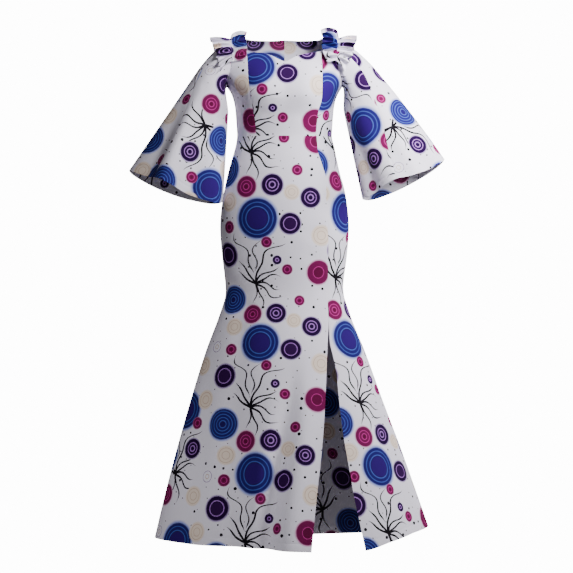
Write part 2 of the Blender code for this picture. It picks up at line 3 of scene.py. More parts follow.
import bpy
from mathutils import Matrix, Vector


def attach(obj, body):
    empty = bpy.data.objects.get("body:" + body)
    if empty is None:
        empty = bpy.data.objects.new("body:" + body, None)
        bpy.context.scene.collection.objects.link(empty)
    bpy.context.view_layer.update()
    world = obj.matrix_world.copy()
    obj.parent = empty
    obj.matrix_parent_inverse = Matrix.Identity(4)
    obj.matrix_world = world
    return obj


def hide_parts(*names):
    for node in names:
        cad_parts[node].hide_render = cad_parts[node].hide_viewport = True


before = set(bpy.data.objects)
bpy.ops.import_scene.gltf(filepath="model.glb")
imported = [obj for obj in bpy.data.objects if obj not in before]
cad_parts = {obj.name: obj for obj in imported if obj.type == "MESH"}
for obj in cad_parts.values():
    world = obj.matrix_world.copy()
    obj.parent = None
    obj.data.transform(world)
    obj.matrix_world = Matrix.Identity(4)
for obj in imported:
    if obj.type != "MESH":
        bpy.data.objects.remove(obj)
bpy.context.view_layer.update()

# --- Bodice back ----------------------------------------------------------------------------------
# Two panels of printed cotton, joined by a plain seam down the middle of the back and carried up to the
# shoulders as straps. All the dress is cut from this one cloth and its bodice and skirt on one tube, so
# that tube, its folds and the print are set out here.
CLOTH_THICK = 0.0007
CLOTH_EDGE = 65  # degrees: a sharper corner than this is the cloth's cut edge
SEAM_DIP, SEAM_DIP_WIDE = 0.0005, 0.0020  # a pressed seam lies a little below the cloth beside it
HEM_DEEP, HEM_DIP, HEM_DIP_WIDE = 0.022, 0.0005, 0.0010  # the line of stitches along a turned-up hem
STRAP_X, SHOULDER_SLOPE, SHOULDER_FADE = 0.131, 0.13, 0.15
UNDERARM_RUN, WAIST_RUN = 0.196, 0.343  # a run is the way down from the shoulder, over the cloth
RUN_LESS_DEPTH = 0.060  # from the bust down, a run is the depth below the shoulder and this
UNSEWN_BELOW = 9.0  # a run below every hem, for an edge that is sewn all the way down
TUBE_COLUMNS = ("run", "z", "right", "left", "front", "back", "square")
TUBE = (
    # run, z, half-width to -X, half-width to +X, depth in front, behind, squareness
    (0.000, 0.0000, 0.206, 0.206, 0.000, 0.000, 2.30),
    (0.006, -0.0001, 0.206, 0.206, 0.006, 0.006, 2.30),
    (0.018, -0.0016, 0.206, 0.206, 0.018, 0.017, 2.30),
    (0.038, -0.0075, 0.205, 0.205, 0.037, 0.035, 2.30),
    (0.062, -0.0205, 0.203, 0.203, 0.057, 0.054, 2.30),
    (0.093, -0.0430, 0.199, 0.199, 0.078, 0.073, 2.30),
    (0.124, -0.0700, 0.193, 0.193, 0.094, 0.086, 2.30),
    (0.156, -0.0990, 0.185, 0.185, 0.108, 0.094, 2.30),
    (0.177, -0.1180, 0.177, 0.177, 0.116, 0.097, 2.30),
    (0.196, -0.1370, 0.167, 0.167, 0.121, 0.098, 2.30),
    (0.212, -0.1520, 0.157, 0.158, 0.124, 0.098, 2.28),
    (0.232, -0.1720, 0.149, 0.149, 0.124, 0.096, 2.26),
    (0.255, -0.1950, 0.144, 0.144, 0.117, 0.093, 2.24),
    (0.285, -0.2250, 0.141, 0.141, 0.106, 0.088, 2.22),
    (0.315, -0.2550, 0.139, 0.139, 0.099, 0.084, 2.20),
    (0.343, -0.2830, 0.138, 0.138, 0.095, 0.082, 2.20),
    (0.372, -0.3120, 0.143, 0.145, 0.097, 0.088, 2.20),
    (0.407, -0.3470, 0.153, 0.152, 0.102, 0.100, 2.20),
    (0.447, -0.3870, 0.164, 0.161, 0.107, 0.116, 2.20),
    (0.497, -0.4370, 0.175, 0.175, 0.111, 0.131, 2.18),
    (0.547, -0.4870, 0.183, 0.183, 0.113, 0.137, 2.15),
    (0.607, -0.5470, 0.187, 0.187, 0.113, 0.132, 2.12),
    (0.687, -0.6270, 0.181, 0.181, 0.108, 0.119, 2.10),
    (0.767, -0.7070, 0.172, 0.171, 0.102, 0.109, 2.10),
    (0.802, -0.7420, 0.172, 0.173, 0.103, 0.110, 2.10),
    (0.837, -0.7770, 0.182, 0.184, 0.110, 0.119, 2.08),
    (0.882, -0.8220, 0.198, 0.200, 0.123, 0.134, 2.06),
    (0.967, -0.9070, 0.230, 0.235, 0.149, 0.164, 2.04),
    (1.107, -1.0470, 0.273, 0.286, 0.186, 0.206, 2.02),
    (1.247, -1.1870, 0.312, 0.339, 0.220, 0.242, 2.00),
    (1.387, -1.3270, 0.348, 0.389, 0.250, 0.273, 2.00),
    (1.547, -1.4870, 0.386, 0.445, 0.281, 0.304, 2.00),
)
COLUMN = {name: i for i, name in enumerate(TUBE_COLUMNS)}
BUST_X, BUST_Z, BUST_WIDE, BUST_TALL = 0.072, -0.152, 0.050, 0.052
BUST_FULL, BUST_ROUND = 0.012, 0.05  # how far it stands out, and the depth over which that begins
HEM = (
    # bearing, z of the hem
    (-180, -1.470),
    (-135, -1.462),
    (-90, -1.439),
    (-45, -1.444),
    (-22, -1.444),
    (0, -1.453),
    (20, -1.459),
    (33, -1.455),
    (45, -1.436),
    (65, -1.417),
    (90, -1.409),
    (135, -1.446),
    (180, -1.470),
)
FOLDS = (
    # z of its top, bearing at the top, bearing at the hem, half-width in degrees, depth
    (-0.80, -38, -20, 8, -0.016),
    (-0.84, 14, 1, 7, 0.014),
    (-0.88, 6, -8, 5, -0.027),
    (-0.90, -8, -15, 6, 0.009),
    (-0.78, -58, -50, 13, -0.012),
    (-0.80, -74, -76, 9, 0.006),
    (-0.80, 62, 64, 10, -0.008),
    (-0.84, -118, -112, 11, -0.015),
    (-0.84, -142, -140, 10, 0.011),
    (-0.88, -165, -163, 10, -0.013),
    (-0.86, 176, 171, 9, 0.009),
    (-0.84, 150, 148, 11, -0.015),
    (-0.88, 126, 124, 10, 0.010),
    (-0.84, 104, 104, 9, -0.009),
)
FOLD_GROWTH = 0.45  # the way down over which a fold reaches its full depth
CREASES = (
    # bearing and z where it starts, bearing and z where it ends, half-width, depth: troughs are negative
    (-66, -0.165, -50, -0.215, 0.010, -0.0016),
    (-72, -0.190, -56, -0.250, 0.009, -0.0013),
    (-30, -0.205, -12, -0.232, 0.012, -0.0010),
    (30, -0.200, 14, -0.236, 0.012, -0.0009),
    (60, -0.175, 48, -0.222, 0.010, -0.0014),
    (-60, -0.292, -38, -0.345, 0.011, -0.0016),
    (-50, -0.290, -22, -0.330, 0.009, 0.0011),
    (55, -0.292, 36, -0.352, 0.011, -0.0015),
    (-34, -0.286, -35, -0.385, 0.004, -0.0014),
    (33, -0.286, 33, -0.350, 0.004, -0.0010),
    (46, -0.470, 34, -0.455, 0.006, -0.0014),
    (44, -0.520, 26, -0.512, 0.006, 0.0010),
    (42, -0.560, 8, -0.552, 0.007, -0.0016),
    (43, -0.600, 12, -0.590, 0.006, 0.0012),
    (44, -0.640, 20, -0.630, 0.008, -0.0014),
    (-60, -0.640, -30, -0.660, 0.016, -0.0018),
    (-64, -0.700, -34, -0.742, 0.018, -0.0026),
    (-52, -0.735, -26, -0.800, 0.017, -0.0038),
    (-44, -0.765, -32, -0.930, 0.024, -0.0060),
    (60, -0.690, 36, -0.735, 0.016, -0.0018),
    (40, -0.745, 22, -0.800, 0.015, -0.0016),
    (-130, -0.300, -160, -0.345, 0.011, -0.0016),
    (130, -0.305, 158, -0.352, 0.011, -0.0018),
    (-125, -0.200, -150, -0.235, 0.011, -0.0014),
    (122, -0.195, 152, -0.240, 0.011, -0.0015),
    (-120, -0.640, -155, -0.672, 0.016, -0.0020),
    (122, -0.655, 158, -0.690, 0.016, -0.0022),
    (-115, -0.715, -150, -0.770, 0.018, -0.0028),
    (118, -0.735, 150, -0.790, 0.018, -0.0027),
)
CREASE_END = 0.25  # share of a crease's length over which each end fades


def table_at(rows, at, column=1):
    """Smooth value of a table's column, its first column being where each row stands."""
    at = min(max(at, rows[0][0]), rows[-1][0])
    i = next(k for k in range(len(rows) - 1) if at <= rows[k + 1][0])
    span = rows[i + 1][0] - rows[i][0]
    share = (at - rows[i][0]) / span

    def slope(k):
        before, after = rows[max(k - 1, 0)], rows[min(k + 1, len(rows) - 1)]
        return (after[column] - before[column]) / (after[0] - before[0])

    return glide(rows[i][column], rows[i + 1][column], span * slope(i), span * slope(i + 1), share)


def glide(start, goal, leave, arrive, share):
    """The smooth way from start to goal, with these slopes at its ends."""
    held = start * (1 + 2 * share) * (1 - share) ** 2 + goal * share**2 * (3 - 2 * share)
    return held + (leave * share * (1 - share) ** 2 - arrive * share**2 * (1 - share))


def lerp(a, b, share):
    return a + (b - a) * share


def smooth(share):
    share = min(max(share, 0.0), 1.0)
    return share * share * (3 - 2 * share)


def signed_power(value, power):
    return math.copysign(abs(value) ** power, value)


def bell(distance, half_width):
    return math.exp(-((distance / half_width) ** 2))


def half_turn(degrees):
    """The same turn, between half a turn back and half a turn on."""
    return (degrees + 180) % 360 - 180


def tube_at(run, name):
    return table_at(TUBE, run, COLUMN[name])


def fold_depth(bearing, z):
    total = 0.0
    for top_z, top_bearing, hem_bearing, half_width, depth in FOLDS:
        if z < top_z:
            middle = lerp(top_bearing, hem_bearing, smooth((top_z - z) / (top_z - HEM[0][1])))
            away = half_turn(bearing - middle)
            total += depth * smooth((top_z - z) / FOLD_GROWTH) * bell(away, half_width)
    return total


def crease_depth(creases, bearing, way, metres_a_degree, length=1.0):
    """How far small creases push a point out, each one fading towards its two ends."""
    total = 0.0
    for from_bearing, from_way, to_bearing, to_way, half_width, depth in creases:
        along = Vector(((to_bearing - from_bearing) * metres_a_degree, (to_way - from_way) * length))
        away = Vector((half_turn(bearing - from_bearing) * metres_a_degree, (way - from_way) * length))
        share = away.dot(along) / along.length_squared
        begun, left = share + CREASE_END / 2, 1 + CREASE_END / 2 - share
        fade = smooth(begun / CREASE_END) * smooth(left / CREASE_END)
        total += depth * fade * bell((away - along * share).length, half_width)
    return total


def tube_point(bearing, run):
    """The dress's outer face at a bearing (0 in front, 90 at +X) and a run."""
    turn = math.radians(bearing)
    side = tube_at(run, "left" if math.sin(turn) > 0 else "right")
    deep = tube_at(run, "front" if math.cos(turn) > 0 else "back")
    power = 2 / tube_at(run, "square")
    x = side * signed_power(math.sin(turn), power)
    y = -deep * signed_power(math.cos(turn), power)
    z = tube_at(run, "z")
    metres_a_degree = math.radians(1) * (side + deep) / 2
    push = fold_depth(bearing, z) + crease_depth(CREASES, bearing, z, metres_a_degree)
    z += SHOULDER_SLOPE * (STRAP_X - abs(x)) * (1 - smooth(run / SHOULDER_FADE))
    if y < 0:
        full = BUST_FULL * bell(abs(x) - BUST_X, BUST_WIDE) * bell(z - BUST_Z, BUST_TALL)
        y -= full * smooth(-y / BUST_ROUND)
    return Vector((x, y, z)) + Vector((x, y, 0.0)).normalized() * push


def bearing_at(x, run, behind=False):
    side = tube_at(run, "left" if x > 0 else "right")
    turn = math.degrees(math.asin(min(abs(x) / side, 1.0) ** (tube_at(run, "square") / 2)))
    turn = math.copysign(turn, x)
    return math.copysign(180, x) - turn if behind else turn


def hem_run(bearing):
    return RUN_LESS_DEPTH - table_at(HEM, half_turn(bearing))


class Shade:
    """A socket of a material's node tree, on which sums can be written."""

    def __init__(self, socket):
        self.socket = socket

    def make(self, kind, settings, *inputs, out=0):
        tree = self.socket.id_data
        node = tree.nodes.new(kind)
        for key, value in settings.items():
            setattr(node, key, value)
        for place, value in zip([s for s in node.inputs if s.enabled], inputs):
            if isinstance(value, Shade):
                tree.links.new(value.socket, place)
            elif value is not None:
                place.default_value = value
        return Shade([s for s in node.outputs if s.enabled][out])

    def math(self, operation, *others, **settings):
        return self.make("ShaderNodeMath", {"operation": operation, **settings}, self, *others)

    def __add__(self, other):
        return self.math("ADD", other)

    def __sub__(self, other):
        return self.math("SUBTRACT", other)

    def __rsub__(self, other):
        return (self * -1) + other

    def __mul__(self, other):
        return self.math("MULTIPLY", other)

    def __truediv__(self, other):
        return self.math("DIVIDE", other)


PRINT_WIDE, PRINT_TALL = 0.600, 0.376  # one repeat of the print
# The last grey here is what the inner faces are mixed towards: a faded print and a painted shade.
WHITE, GREYED_WHITE, FADED_AND_SHADED_GREY = (0.82, 0.78, 0.895), (0.70, 0.66, 0.80), (0.42, 0.38, 0.47)
BLACK = (0.0060, 0.0045, 0.0080)
INDIGO, ROYAL, SKY = (0.0130, 0.0050, 0.090), (0.0125, 0.0100, 0.122), (0.062, 0.105, 0.43)
VIOLET, PLUM, LILAC = (0.0230, 0.0042, 0.130), (0.0120, 0.0006, 0.032), (0.36, 0.17, 0.54)
MULBERRY, MAUVE = (0.026, 0.0034, 0.055), (0.19, 0.104, 0.29)
CRIMSON, MAGENTA, PINK = (0.106, 0.0034, 0.042), (0.144, 0.0050, 0.064), (0.50, 0.040, 0.26)
CREAM, SAND = (0.79, 0.66, 0.57), (0.55, 0.41, 0.33)
BLUE_BLEED, PLUM_BLEED, PINK_BLEED = (0.10, 0.18, 0.66), (0.17, 0.06, 0.32), (0.52, 0.09, 0.31)
DISC_KINDS = {
    # dye that has spread past the rim, then the bands: share of the radius where each starts, its colour
    "great blue": (
        BLUE_BLEED, (0, VIOLET), (0.50, INDIGO), (0.55, SKY), (0.60, ROYAL), (0.76, SKY), (0.80, ROYAL),
    ),
    "rippled blue": (
        BLUE_BLEED, (0, INDIGO), (0.20, SKY), (0.25, ROYAL), (0.40, SKY), (0.45, ROYAL),
        (0.60, SKY), (0.65, ROYAL), (0.80, SKY), (0.84, ROYAL),
    ),
    "double plum": (PLUM_BLEED, (0, PLUM), (0.22, LILAC), (0.33, PLUM), (0.54, LILAC), (0.62, PLUM)),
    "single plum": (PLUM_BLEED, (0, MULBERRY), (0.50, PLUM), (0.57, LILAC), (0.65, PLUM)),
    "double magenta": (
        PINK_BLEED, (0, CRIMSON), (0.24, PINK), (0.32, MAGENTA), (0.55, PINK), (0.62, MAGENTA),
    ),
    "single magenta": (PINK_BLEED, (0, CRIMSON), (0.44, PINK), (0.49, MAGENTA)),
    "small magenta": (PINK_BLEED, (0, CRIMSON), (0.24, MAGENTA), (0.46, PINK), (0.58, MAGENTA)),
    "small plum": (PLUM_BLEED, (0, PLUM), (0.24, LILAC), (0.48, PLUM)),
    "cream": (CREAM, (0, CREAM), (0.40, SAND), (0.46, CREAM), (0.76, SAND), (0.82, CREAM)),
    "outline": (WHITE, (0, WHITE), (0.30, SAND), (0.40, WHITE), (0.86, MAUVE), (0.94, WHITE)),
}
DISCS = (
    # kind, how far across and up the repeat its middle lies, radius
    ("great blue", 0.118, 0.196, 0.0575),
    ("great blue", 0.474, 0.012, 0.0550),
    ("rippled blue", 0.016, 0.336, 0.0455),
    ("rippled blue", 0.402, 0.262, 0.0445),
    ("double plum", 0.163, 0.288, 0.0305),
    ("double plum", 0.270, 0.250, 0.0290),
    ("double plum", 0.510, 0.274, 0.0290),
    ("single plum", 0.210, 0.178, 0.0305),
    ("single plum", 0.012, 0.100, 0.0350),
    ("single plum", 0.352, 0.100, 0.0320),
    ("double magenta", 0.088, 0.286, 0.0300),
    ("double magenta", 0.412, 0.150, 0.0300),
    ("single magenta", 0.292, 0.036, 0.0355),
    ("small magenta", 0.141, 0.128, 0.0155),
    ("small magenta", 0.234, 0.328, 0.0155),
    ("small magenta", 0.198, 0.046, 0.0155),
    ("small magenta", 0.028, 0.178, 0.0170),
    ("small magenta", 0.522, 0.346, 0.0170),
    ("small magenta", 0.352, 0.204, 0.0155),
    ("small plum", 0.169, 0.075, 0.0130),
    ("small plum", 0.338, 0.334, 0.0130),
    ("cream", 0.217, 0.266, 0.0215),
    ("cream", 0.300, 0.142, 0.0290),
    ("cream", 0.030, 0.248, 0.0260),
    ("cream", 0.548, 0.036, 0.0270),
    ("cream", 0.526, 0.138, 0.0270),
    ("cream", 0.404, 0.344, 0.0240),
    ("outline", 0.574, 0.190, 0.0175),
    ("outline", 0.392, 0.046, 0.0175),
)
BAND_SOFT, FAINT_BAND_SOFT = 0.035, 0.02  # how far a band's edge blurs, as a share of the radius
RIM_ENDS, BLEED_BEGINS, BLEED_ENDS = 0.93, 1.01, 1.13  # also as shares of the radius
BLEED_COVER = 0.70
RAMP_RIM = 0.8  # where the disc's radius comes on its colour ramp
TWIG_ROOTS = ((0.099, 0.006), (0.446, 0.206))
TWIG_SWAYS = 78.0  # how quickly a strand sways from side to side, in radians a metre
TWIG_SOFT = 0.0004
TWIG_THINNING = 0.35  # share of its half-width that a strand loses on its way out
TWIG_POINT, TWIG_SPROUT = 0.11, 0.14  # how bluntly it ends and, where it stands apart, begins
TWIG_STRANDS = (
    # degrees it sets out at, bend in degrees a metre, its growth a metre further on, sway in degrees,
    # how far from the root it begins and ends, half-width where it is widest
    (80, -80, -650, 4, 0, 0.154, 0.0035),
    (94, 100, 0, -5, 0.030, 0.168, 0.0030),
    (86, 40, -500, 6, 0.036, 0.134, 0.0030),
    (108, 540, -4400, 4, 0, 0.092, 0.0037),
    (146, 60, -900, 5, 0, 0.074, 0.0037),
    (68, -520, 900, 5, 0, 0.092, 0.0032),
    (42, -420, 800, -6, 0, 0.086, 0.0031),
    (12, -520, 2600, 8, 0, 0.080, 0.0033),
    (-30, -100, 600, 8, 0, 0.098, 0.0033),
    (-60, -200, 0, -6, 0, 0.090, 0.0031),
    (-84, -150, 0, 7, 0, 0.066, 0.0029),
)
INK_COVERED = 0.30  # a disc that covers the cloth by more than this hides the dots and twigs
DOT_SPACING, DOT_SOFT = 0.031, 0.02
DOT_LEAST, DOT_RANGE = 0.048, 0.110  # the least radius and what is added to it, in spacings
DOT_FEW_LARGE = 2.2  # a power: the higher it is, the fewer dots are large
DOT_LEFT_OUT = 0.30  # share of the spacing's places with no dot
MOTTLE_SCALE, MOTTLE_DETAIL, MOTTLE_DEPTH = 9.0, 3.0, 0.12
THREAD, THREAD_HIGH = 0.00055, 0.00003  # from one thread of the weave to the next, how far it stands up
CRUMPLE_SCALE, CRUMPLE_DETAIL, CRUMPLE_ROUGH, CRUMPLE_HIGH = 26.0, 3.0, 0.55, 0.0016
BUMP_STRENGTH, BUMP_REACH, BUMP_FILTER = 0.5, 1.0, 0.1


def printed_cotton(name, fade):
    """Plain-weave cotton with the print on it. fade greys this face: a little print lost, and painted
    shade.
    """
    material = bpy.data.materials.new(name)
    material.use_nodes = True
    tree = material.node_tree
    cotton = tree.nodes["Principled BSDF"]
    cotton.inputs["Roughness"].default_value = 0.80
    cotton.inputs["Specular IOR Level"].default_value = 0.06
    cotton.inputs["Sheen Weight"].default_value = 0.02
    cotton.inputs["Sheen Roughness"].default_value = 0.45
    uv = tree.nodes.new("ShaderNodeUVMap")
    uv.uv_map = "cloth"
    place = Shade(uv.outputs["UV"])

    def around(x, y):
        """Where a point lies in the repeat that has this place at its middle."""
        low = (x - PRINT_WIDE / 2, y - PRINT_TALL / 2, -1)
        high = (x + PRINT_WIDE / 2, y + PRINT_TALL / 2, 1)
        return place.make("ShaderNodeVectorMath", {"operation": "WRAP"}, place, high, low)

    def over(factor, under, top):
        mix = {"data_type": "RGBA", "clamp_factor": True}
        return place.make("ShaderNodeMix", mix, factor, under, top)

    mottle = place.make("ShaderNodeTexNoise", {}, place, MOTTLE_SCALE, MOTTLE_DETAIL)
    colour = over(mottle * MOTTLE_DEPTH, (*WHITE, 1), (*GREYED_WHITE, 1))

    cell = {"voronoi_dimensions": "2D", "feature": "F1"}
    dots = place.make("ShaderNodeTexVoronoi", cell, place, 1 / DOT_SPACING)
    tint = Shade(dots.socket.node.outputs["Color"])
    kind = place.make("ShaderNodeSeparateColor", {}, tint)
    size = kind.math("POWER", DOT_FEW_LARGE) * DOT_RANGE + DOT_LEAST
    ink = (size - dots) / DOT_SOFT
    chosen = Shade(kind.socket.node.outputs["Green"]).math("GREATER_THAN", DOT_LEFT_OUT)
    ink = ink.math("ADD", 0.5, use_clamp=True) * chosen

    for place_of_root in TWIG_ROOTS:
        apart = {"operation": "SUBTRACT"}
        root = place.make("ShaderNodeVectorMath", apart, around(*place_of_root), (*place_of_root, 0))
        split = place.make("ShaderNodeSeparateXYZ", {}, root)
        across, up = split, Shade(split.socket.node.outputs["Y"])
        reach = place.make("ShaderNodeVectorMath", {"operation": "LENGTH"}, root)
        heading = up.math("ARCTAN2", across)
        sway = (reach * TWIG_SWAYS).math("SINE")
        for degrees, bend, growth, sways, begins, length, half_width in TWIG_STRANDS:
            way = (reach * math.radians(growth) + math.radians(bend)) * reach + math.radians(degrees)
            way = way + sway * math.radians(sways)
            beside = (heading - way).math("WRAP", math.pi, -math.pi).math("ABSOLUTE") * reach
            wide = reach * (-half_width * TWIG_THINNING / length) + half_width
            wide = wide.math("MINIMUM", (length - reach) * TWIG_POINT)
            wide = wide.math("MINIMUM", (reach - begins) * TWIG_SPROUT) if begins > 0 else wide
            ink = ink.math("MAXIMUM", ((wide - beside) / TWIG_SOFT).math("MINIMUM", 1.0))

    for kind_name, (bleed, *bands) in DISC_KINDS.items():
        nearest = None
        for disc_kind, x, y, radius in DISCS:
            if disc_kind == kind_name:
                measure = {"operation": "DISTANCE"}
                away = place.make("ShaderNodeVectorMath", measure, around(x, y), (x, y, 0))
                away = away * (RAMP_RIM / radius)
                nearest = away if nearest is None else nearest.math("MINIMUM", away)
        soft = FAINT_BAND_SOFT if bleed == WHITE else BAND_SOFT
        stops = [(0.0, bands[0][1], 1.0)]
        for (_, before), (start, after) in zip(bands, bands[1:]):
            stops += [(start - soft / 2, before, 1.0), (start + soft / 2, after, 1.0)]
        rim = bands[-1][1]
        stops += [(RIM_ENDS, rim, 1.0), (BLEED_BEGINS, bleed, BLEED_COVER), (BLEED_ENDS, bleed, 0.0)]
        ramp = tree.nodes.new("ShaderNodeValToRGB")
        while len(ramp.color_ramp.elements) < len(stops):
            ramp.color_ramp.elements.new(0.5)
        for element, (at, tone, cover) in zip(ramp.color_ramp.elements, stops):
            element.position = at * RAMP_RIM
            element.color = (*tone, cover)
        tree.links.new(nearest.socket, ramp.inputs["Fac"])
        colour = over(Shade(ramp.outputs["Alpha"]), colour, Shade(ramp.outputs["Color"]))
        ink = ink * Shade(ramp.outputs["Alpha"]).math("LESS_THAN", INK_COVERED)
    colour = over(ink, colour, (*BLACK, 1))

    # The mix towards dull grey weakens the print and darkens the cloth: a painted shade for the inner
    # faces.
    if fade:
        colour = over(fade, colour, (*FADED_AND_SHADED_GREY, 1))
    tree.links.new(colour.socket, cotton.inputs["Base Color"])

    flat = place.make("ShaderNodeSeparateXYZ", {}, place)
    warp = (flat * (math.tau / THREAD)).math("SINE")
    weft = (Shade(flat.socket.node.outputs["Y"]) * (math.tau / THREAD)).math("SINE")
    noise = CRUMPLE_SCALE, CRUMPLE_DETAIL, CRUMPLE_ROUGH
    crumple = place.make("ShaderNodeTexNoise", {}, place, *noise)
    height = warp * weft * THREAD_HIGH + crumple * CRUMPLE_HIGH
    bump = place.make("ShaderNodeBump", {}, BUMP_STRENGTH, BUMP_REACH, BUMP_FILTER, height)
    tree.links.new(bump.socket, cotton.inputs["Normal"])
    return material


face_cotton = printed_cotton("printed_cotton_face", 0.0)
back_cotton = printed_cotton("printed_cotton_back", 0.03)  # the wrong side: its print a little faded, and a little painted shade darkening it inside the dress


def lay_flat(sheet, place, turn=0.0):
    """Unfolds a sheet into its flat pattern in metres, and lays that on the cloth at a place."""
    bpy.ops.object.select_all(action="DESELECT")
    bpy.context.view_layer.objects.active = sheet
    sheet.select_set(True)
    bpy.ops.object.mode_set(mode="EDIT")
    bpy.ops.mesh.select_all(action="SELECT")
    bpy.ops.uv.unwrap(method="ANGLE_BASED", margin=0.0)
    bpy.ops.object.mode_set(mode="OBJECT")
    mesh = sheet.data
    flat = mesh.uv_layers["cloth"].data
    area = 0.0
    for polygon in mesh.polygons:
        corners = [flat[k].uv for k in polygon.loop_indices]
        for a, b in zip(corners[1:-1], corners[2:]):
            area += (a - corners[0]).cross(b - corners[0]) / 2
    cloth_area = sum(polygon.area for polygon in mesh.polygons)
    scale = math.sqrt(cloth_area / abs(area))
    corner = {loop.vertex_index: k for k, loop in enumerate(mesh.loops)}
    top, bottom = (flat[corner[sheet[key]]].uv.copy() for key in ("grain_top", "grain_foot"))
    grain = top - bottom
    if area < 0:
        raise ValueError(f"{sheet.name} was laid face down")

    def turned(degrees, start):
        lean = math.atan2(grain.x, grain.y) + math.radians(degrees)
        cosine, sine = math.cos(lean) * scale, math.sin(lean) * scale
        steps_out = [point.uv - top for point in flat]
        return [(cosine * x - sine * y + start[0], sine * x + cosine * y + start[1]) for x, y in steps_out]

    along_grain = turned(0.0, (0.0, 0.0))
    for point, laid in zip(flat, turned(turn, place)):
        point.uv = laid
    wide, long = (max(c[k] for c in along_grain) - min(c[k] for c in along_grain) for k in (0, 1))
    return wide, long, cloth_area


def sheet_from(name, rows):
    """A sheet through rows of points, each row running to +X where the sheet is seen from outside."""
    across = len(rows[0])
    faces = []
    for i in range(len(rows) - 1):
        for j in range(across - 1):
            a = i * across + j
            faces.append((a, a + across, a + across + 1, a + 1))
    mesh = bpy.data.meshes.new(name)
    mesh.from_pydata([point for row in rows for point in row], [], faces)
    mesh.uv_layers.new(name="cloth")
    mesh.shade_smooth()
    sheet = bpy.data.objects.new(name, mesh)
    bpy.context.scene.collection.objects.link(sheet)
    middle = across // 2
    sheet["grain_top"], sheet["grain_foot"] = middle, (len(rows) - 1) * across + middle
    return sheet


def finish_sheet(sheet, node, place, turn=0.0, thick=CLOTH_THICK):
    wide, long, area = lay_flat(sheet, place, turn)
    mesh = sheet.data
    mesh.materials.append(face_cotton)
    mesh.materials.append(back_cotton)
    solidify = sheet.modifiers.new("thickness", "SOLIDIFY")
    solidify.thickness, solidify.offset = thick, -1.0
    solidify.material_offset, solidify.material_offset_rim = 1, 0
    bpy.ops.object.modifier_apply(modifier=solidify.name)
    bpy.ops.object.shade_smooth_by_angle(angle=math.radians(CLOTH_EDGE))
    del sheet["grain_top"], sheet["grain_foot"]
    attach(sheet, "root")
    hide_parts(node)


def spread(count, ends=(0.006, 0.02)):
    """Shares across a panel, even but for a few close together at both seams."""
    middle = [i / count for i in range(1, count)]
    return [0.0, *ends, *middle, *(1 - end for end in reversed(ends)), 1.0]


def tube_panel(name, runs, shares, first_edge, last_edge, top=None, hem=False, free=(UNSEWN_BELOW,) * 2):
    """A panel of the tube between two edges, each a bearing at any run and sewn down to its run in free."""
    rows = []
    whole = runs[-1] - runs[0]
    for run in runs:
        row = []
        for share in shares:
            here = lerp(top(share), runs[-1], (run - runs[0]) / whole) if top else run
            bearing = lerp(first_edge(here), last_edge(here), share)
            if hem:
                here = lerp(runs[0], hem_run(bearing), (here - runs[0]) / whole)
                bearing = lerp(first_edge(here), last_edge(here), share)
            row.append(tube_point(bearing, here))
        rows.append(row)
        sewn = [end.copy() for end, free_from in zip((row[0], row[-1]), free) if run < free_from]
        for point in row:
            near = min([(point - end).length for end in sewn], default=1.0)
            dip = SEAM_DIP * bell(near, SEAM_DIP_WIDE)
            if hem:
                dip += HEM_DIP * bell(runs[-1] - run - HEM_DEEP, HEM_DIP_WIDE)
            point += Vector((-point.x, -point.y, 0.0)).normalized() * dip
    return sheet_from(name, rows)


def seam(table, behind=False):
    return lambda run: bearing_at(table_at(table, run), run, behind)


def fixed(bearing):
    return lambda run: bearing


def side_edge(armhole, sign, behind):
    """The outer edge of a bodice panel: the armhole, then the side seam."""

    def edge(run):
        if run >= UNDERARM_RUN:
            return sign * 90
        if run <= armhole[-1][0]:
            return bearing_at(sign * table_at(armhole, run), run, behind)
        last_run, last_x = armhole[-1]
        share = (run - last_run) / (UNDERARM_RUN - last_run)
        up = (1 - share**ARMHOLE_ROUND) ** (1 / ARMHOLE_ROUND)
        return lerp(sign * 90, bearing_at(sign * last_x, last_run, behind), up)

    return edge


def piecewise(rows, at):
    i = next(k for k in range(len(rows) - 1) if at <= rows[k + 1][0] or k == len(rows) - 2)
    return lerp(rows[i][1], rows[i + 1][1], (at - rows[i][0]) / (rows[i + 1][0] - rows[i][0]))


def steps(first, last, size):
    count = max(round((last - first) / size), 1)
    return [lerp(first, last, i / count) for i in range(count)]


ARMHOLE_FRONT = ((0.000, 0.166), (0.062, 0.161), (0.100, 0.156), (0.130, 0.154))  # run and x of its edge
ARMHOLE_BACK = ((0.000, 0.166), (0.062, 0.162), (0.100, 0.158), (0.130, 0.157))
ARMHOLE_ROUND = 1.6
BACK_NECK = (
    # share from the middle of the back to the side, run of the neck's edge
    (0.00, 0.044),
    (0.20, 0.040),
    (0.36, 0.033),
    (0.48, 0.025),
    (0.53, 0.018),
    (0.555, 0.0),
    (1.0, 0.0),
)
WAIST_ROWS = [WAIST_RUN - 0.003, WAIST_RUN - 0.0008, WAIST_RUN]  # close together where the seam dips
BODICE_RUNS = steps(0.0, 0.130, 0.006) + steps(0.130, 0.178, 0.005) + steps(0.178, UNDERARM_RUN, 0.003)
BODICE_RUNS += steps(UNDERARM_RUN, WAIST_RUN, 0.007) + WAIST_ROWS
BACK_ACROSS = 30
# Each panel's place is where the middle of its top edge lies on the print. Its turn is in degrees.
BACK_PLACES = {"right": ((0.174, 0.306), 6), "left": ((0.126, 0.300), -2)}


def back_neck(sign):
    return lambda share: piecewise(BACK_NECK, share if sign < 0 else 1 - share)


for name, sign in (("right", -1), ("left", 1)):
    shares = spread(BACK_ACROSS)
    middle, side = fixed(sign * 180), side_edge(ARMHOLE_BACK, sign, behind=True)
    edges = (middle, side) if sign < 0 else (side, middle)
    panel = tube_panel(f"back_{name}", BODICE_RUNS, shares, *edges, back_neck(sign))
    place, turn = BACK_PLACES[name]
    finish_sheet(panel, f"bodice_back_{name}", place, turn)

